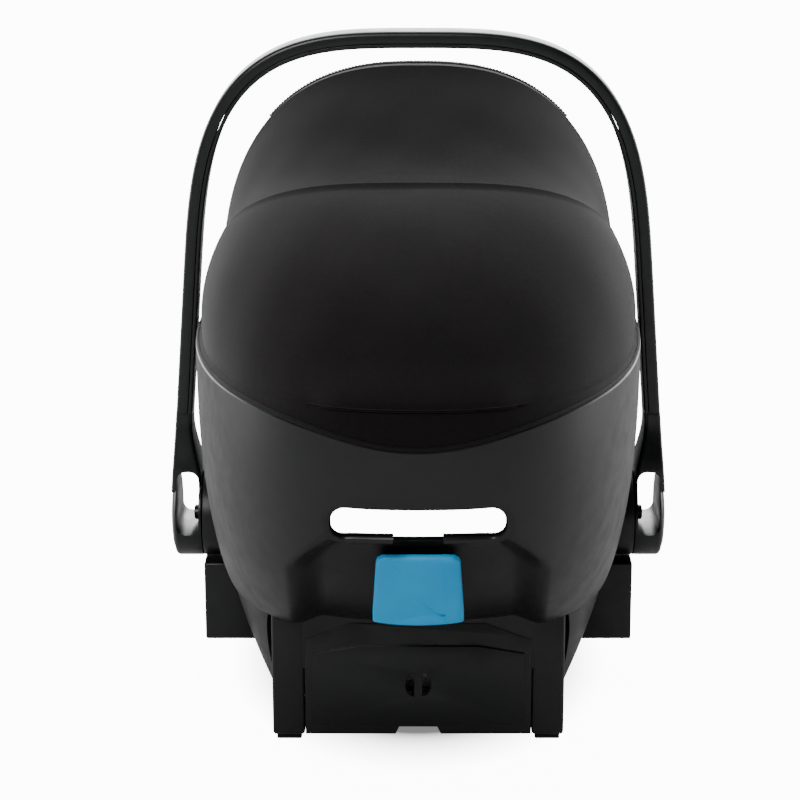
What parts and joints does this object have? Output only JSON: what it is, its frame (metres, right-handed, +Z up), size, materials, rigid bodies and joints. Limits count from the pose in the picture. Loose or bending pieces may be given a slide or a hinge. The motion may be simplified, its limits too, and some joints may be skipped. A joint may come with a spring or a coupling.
{
  "type": "infant car seat",
  "caption": "Infant car seat carrier with a tub shell, swinging carry handle, two-bow fabric canopy, padded liner, buckled harness and a rear release lever.",
  "frame": {"origin": "on the floor, under the middle of the whole seat's bounding box", "axes": "+Z up, +Y towards the foot end, -Y towards the head end with the release lever, +X to the right seen from the head end"},
  "size_m": [0.439, 0.66, 0.574],
  "materials": {
    "shell_plastic": "satin moulded",
    "handle_plastic": "satin moulded",
    "base_plastic": "satin moulded",
    "lever_plastic": "semi-gloss moulded",
    "canopy_fabric": "knitted",
    "seat_fabric": "knitted",
    "foam": "beaded foam",
    "webbing": "woven",
    "steel": "plated",
    "rubber": "matte",
    "red_plastic": "semi-gloss moulded"
  },
  "bodies": {
    "carrier": {"outer_shell": "shell_plastic", "rear_cover": "base_plastic", "rear_foot_left": "rubber", "rear_foot_right": "rubber", "front_foot_left": "rubber", "front_foot_right": "rubber", "foam_liner": "foam", "seat_cover": "seat_fabric", "seat_cushion": "seat_fabric", "back_cushion": "seat_fabric", "shoulder_strap_left": "webbing", "shoulder_strap_right": "webbing", "shoulder_pad_left": "seat_fabric", "shoulder_pad_right": "seat_fabric", "hip_strap_left": "webbing", "hip_strap_right": "webbing", "crotch_strap": "webbing", "adjuster_strap": "webbing", "buckle_housing": "base_plastic", "buckle_spring": "steel", "buckle_tongue_left": "steel", "buckle_tongue_right": "steel", "chest_clip_left": "base_plastic", "chest_clip_right": "base_plastic", "adjuster_housing": "base_plastic", "harness_yoke": "steel", "hub_base_left": "shell_plastic", "hub_base_right": "shell_plastic", "button_spring_left": "steel", "button_spring_right": "steel", "adapter_socket_left": "base_plastic", "adapter_socket_right": "base_plastic", "belt_guide_left": "lever_plastic", "belt_guide_right": "lever_plastic", "canopy_mount_left": "base_plastic", "canopy_mount_right": "base_plastic", "canopy_rear_panel": "canopy_fabric", "lever_bracket": "base_plastic", "lever_pin": "steel", "lever_spring": "steel", "latch_shaft": "steel", "latch_spring": "steel", "rear_anchor_bar": "steel", "front_anchor_bar": "steel"},
    "handle": {"handle_bar": "handle_plastic", "handle_cap": "handle_plastic"},
    "hub_button_left": {"handle_button_left": "handle_plastic"},
    "hub_button_right": {"handle_button_right": "handle_plastic"},
    "rear_bow": {"canopy_rear_bow": "base_plastic", "canopy_front_panel": "canopy_fabric"},
    "front_bow": {"canopy_front_bow": "base_plastic", "canopy_visor": "canopy_fabric"},
    "lever": {"release_lever": "lever_plastic"},
    "latch": {"latch_hook": "steel"},
    "buckle_release": {"buckle_button": "red_plastic"},
    "adjuster_release": {"adjuster_button": "lever_plastic"},
    "headrest": {"headrest_board": "base_plastic", "headrest_pad": "seat_fabric"}
  },
  "joints": [
    {"name": "handle_pivot", "type": "hinge", "parent": "carrier", "child": "handle", "pos_m": [0, 0, 0.144], "axis": [1, 0, 0], "range_deg": [-105, 105]},
    {"name": "hub_button_left_press", "type": "slide", "parent": "handle", "child": "hub_button_left", "axis": [1, 0, 0], "range_m": [0, 0.003], "stiffness_N_per_m": 1500, "springref_m": -0.002, "deforming": ["button_spring_left"]},
    {"name": "hub_button_right_press", "type": "slide", "parent": "handle", "child": "hub_button_right", "axis": [-1, 0, 0], "range_m": [0, 0.003], "stiffness_N_per_m": 1500, "springref_m": -0.002, "deforming": ["button_spring_right"]},
    {"name": "canopy_rear_fold", "type": "hinge", "parent": "carrier", "child": "rear_bow", "pos_m": [0, 0, 0.341], "axis": [1, 0, 0], "range_deg": [0, 20], "deforming": ["canopy_rear_panel"]},
    {"name": "canopy_front_fold", "type": "hinge", "parent": "rear_bow", "child": "front_bow", "pos_m": [0, 0, 0.341], "axis": [1, 0, 0], "range_deg": [0, 40], "deforming": ["canopy_front_panel"]},
    {"name": "lever_pull", "type": "hinge", "parent": "carrier", "child": "lever", "pos_m": [0, -0.28337, 0.20085], "axis": [-1, 0, 0], "range_deg": [0, 22], "stiffness_Nm_per_rad": 0.9, "springref_deg": -14.32, "deforming": ["lever_spring"]},
    {"name": "latch_swing", "type": "hinge", "parent": "carrier", "child": "latch", "pos_m": [0, -0.135, 0.076], "axis": [1, 0, 0], "range_deg": [0, 15], "deforming": ["latch_spring"]},
    {"name": "buckle_press", "type": "slide", "parent": "carrier", "child": "buckle_release", "axis": [0, 0, -1], "range_m": [0, 0.0035], "stiffness_N_per_m": 2500, "springref_m": -0.002, "deforming": ["buckle_spring"]},
    {"name": "adjuster_press", "type": "slide", "parent": "carrier", "child": "adjuster_release", "axis": [0, 0, -1], "range_m": [0, 0.0025], "stiffness_N_per_m": 1500, "springref_m": -0.002},
    {"name": "headrest_height", "type": "slide", "parent": "carrier", "child": "headrest", "axis": [0, -0.905, 0.4254], "range_m": [0, 0.05]}
  ],
  "couplings": [
    {"joint": "latch_swing", "follows": "lever_pull", "ratio": 0.68}
  ]
}
